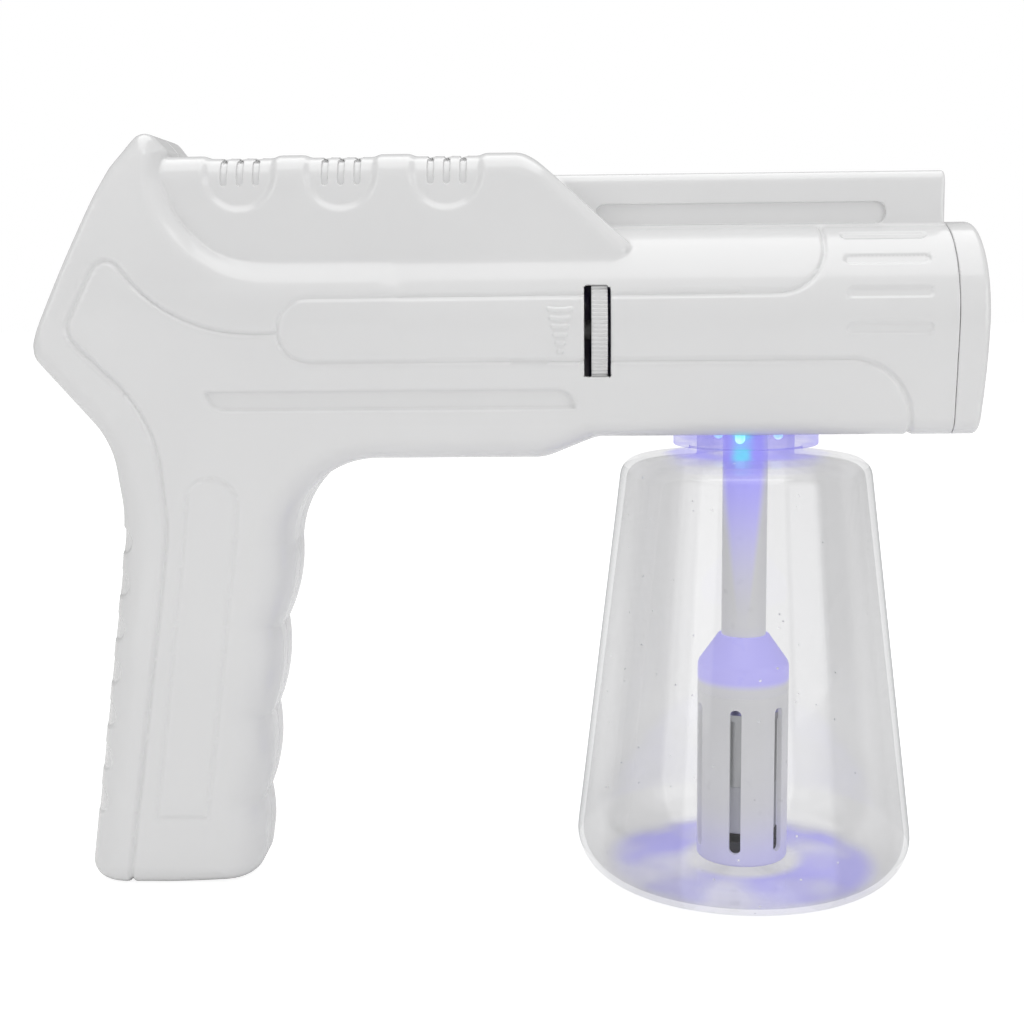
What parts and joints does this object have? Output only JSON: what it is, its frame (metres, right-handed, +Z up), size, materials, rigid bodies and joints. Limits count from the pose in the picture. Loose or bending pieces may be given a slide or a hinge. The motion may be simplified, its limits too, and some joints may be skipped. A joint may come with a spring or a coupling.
{
  "type": "cordless electrostatic disinfectant sprayer",
  "caption": "White pistol-shaped electrostatic sprayer with a vented top, sight rail, side flow wheel, finger-grip handle, and a clear screw-on bottle with a lit intake tube and caged pump.",
  "frame": {"origin": "on the bottle's axis, on the plane that the bottle and the handle stand on", "axes": "+X points out of the nozzle along the barrel, +Z is up, +Y is the sprayer's left side"},
  "size_m": [0.2759, 0.1024, 0.2276],
  "materials": {
    "white_plastic": "smooth gloss",
    "inner_plastic": "satin",
    "grille_plastic": "smooth gloss",
    "panel_plastic": "satin grey",
    "button_plastic": "smooth gloss",
    "light_plastic": "milky, lit",
    "lamp": "clear lens, lit blue",
    "clear_bottle": "clear, glossy",
    "tube_plastic": "smooth",
    "pump_steel": "satin",
    "dark_plastic": "satin",
    "board": "satin",
    "gasket_rubber": "soft",
    "hose_rubber": "translucent",
    "screw_steel": "satin",
    "nozzle_metal": "satin",
    "electrode_metal": "polished",
    "motor_steel": "satin",
    "cell_wrap": "wrapped in film",
    "cable": "soft",
    "filter_foam": "open foam"
  },
  "bodies": {
    "casing": {"right_shell": "white_plastic", "left_shell": "white_plastic", "front_cap": "white_plastic", "shell_screws": "screw_steel", "outlet_grille": "grille_plastic", "nozzle_body": "inner_plastic", "nozzle_tip": "nozzle_metal", "electrode_ring": "electrode_metal", "fan_housing": "inner_plastic", "fan_motor": "motor_steel", "high_voltage_module": "dark_plastic", "high_voltage_lead": "cable", "flow_potentiometer": "dark_plastic", "driver_board": "board", "control_board": "board", "rear_panel": "panel_plastic", "button_switch": "dark_plastic", "status_lens": "light_plastic", "charging_port": "dark_plastic", "battery_cell_rear": "cell_wrap", "battery_cell_front": "cell_wrap", "battery_tray": "inner_plastic", "battery_board": "board", "battery_lead": "cable", "bottle_socket": "inner_plastic", "neck_light_board": "board", "neck_lights": "lamp", "intake_tube": "tube_plastic", "pump_dome": "tube_plastic", "pump_cage": "tube_plastic", "pump_motor": "pump_steel", "pump_chamber": "dark_plastic", "inlet_filter": "filter_foam", "liquid_hose": "hose_rubber", "pump_lead": "cable"},
    "flow_wheel": {"flow_wheel": "white_plastic"},
    "power_button": {"power_button": "button_plastic"},
    "fan_rotor": {"fan_rotor": "dark_plastic"},
    "bottle_seal": {"bottle_gasket": "gasket_rubber"},
    "bottle": {"bottle": "clear_bottle"},
    "pump_impeller": {"pump_impeller": "dark_plastic"}
  },
  "joints": [
    {"name": "flow_wheel_turn", "type": "hinge", "parent": "casing", "child": "flow_wheel", "pos_m": [-0.0447, -0.007, 0.1687], "axis": [1, 0, 0], "range_deg": [0, 270]},
    {"name": "power_button_press", "type": "slide", "parent": "casing", "child": "power_button", "axis": [0.9076, 0, -0.4199], "range_m": [0, 0.001]},
    {"name": "fan_spin", "type": "hinge", "parent": "casing", "child": "fan_rotor", "pos_m": [0.0395, 0, 0.169], "axis": [1, 0, 0], "continuous": true},
    {"name": "bottle_drop", "type": "slide", "parent": "casing", "child": "bottle_seal", "axis": [0, 0, -1], "range_m": [0, 0.00505]},
    {"name": "bottle_turn", "type": "hinge", "parent": "bottle_seal", "child": "bottle", "pos_m": [0, 0, 0], "axis": [0, 0, -1], "range_deg": [0, 450]},
    {"name": "pump_spin", "type": "hinge", "parent": "casing", "child": "pump_impeller", "pos_m": [0, 0, 0.02], "axis": [0, 0, 1], "continuous": true}
  ],
  "couplings": [
    {"joint": "bottle_drop", "follows": "bottle_turn", "m_per_rad": 0.00063662}
  ]
}
